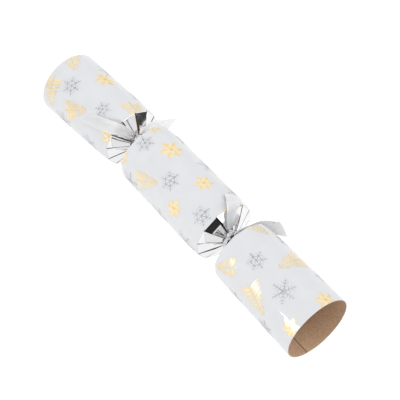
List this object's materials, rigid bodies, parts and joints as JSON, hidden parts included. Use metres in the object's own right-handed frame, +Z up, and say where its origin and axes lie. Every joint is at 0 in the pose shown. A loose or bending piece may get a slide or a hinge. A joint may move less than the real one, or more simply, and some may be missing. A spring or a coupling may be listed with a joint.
{
  "type": "christmas cracker",
  "caption": "Paper cracker: a rolled card barrel between two open end tubes, its slit silver necks tied with ribbon, with a pull-apart snap and small gifts inside",
  "frame": {"origin": "on the table, under the middle of the cracker's overall box", "axes": "+X along the barrel towards the straight end, +Y across it, +Z up from the table"},
  "size_m": [0.3027, 0.0698, 0.0561],
  "materials": {
    "white_card": "satin",
    "kraft_card": "matte",
    "silver_foil": "polished",
    "ribbon": "satin",
    "snap_card": "matte",
    "snap_charge": "matte",
    "sleeve_paper": "matte",
    "tissue": "matte",
    "motto_paper": "matte",
    "toy_plastic": "gloss"
  },
  "bodies": {
    "barrel": {"barrel_wrapper": "white_card", "barrel_liner": "kraft_card", "barrel_left_pleats": "silver_foil", "barrel_right_pleats": "silver_foil", "paper_hat": "tissue", "motto_slip": "motto_paper", "spinning_top": "toy_plastic"},
    "left_tie": {"left_ribbon_tie": "ribbon", "left_ribbon_knot": "ribbon", "left_ribbon_barrel_tail": "ribbon", "left_snap_strip": "snap_card", "left_snap_charge": "snap_charge"},
    "left_end": {"left_end_wrapper": "white_card", "left_end_pleats": "silver_foil", "left_ribbon_end_tail": "ribbon"},
    "right_tie": {"right_ribbon_tie": "ribbon", "right_ribbon_knot": "ribbon", "right_ribbon_barrel_tail": "ribbon", "right_snap_strip": "snap_card", "right_snap_charge": "snap_charge", "snap_sleeve": "sleeve_paper"},
    "right_end": {"right_end_wrapper": "white_card", "right_end_pleats": "silver_foil", "right_ribbon_end_tail": "ribbon"}
  },
  "joints": [
    {"name": "left_pull", "type": "slide", "parent": "barrel", "child": "left_tie", "axis": [-1, 0, 0], "range_m": [0, 0.08]},
    {"name": "left_flex", "type": "hinge", "parent": "left_tie", "child": "left_end", "pos_m": [-0.05788, -0.00153, 0.02705], "axis": [0, 0, 1], "range_deg": [-12.1, 3.9]},
    {"name": "right_pull", "type": "slide", "parent": "barrel", "child": "right_tie", "axis": [1, 0, 0], "range_m": [0, 0.08]},
    {"name": "right_flex", "type": "hinge", "parent": "right_tie", "child": "right_end", "pos_m": [0.05788, -0.00153, 0.02705], "axis": [0, 0, 1], "range_deg": [-8, 8]}
  ]
}
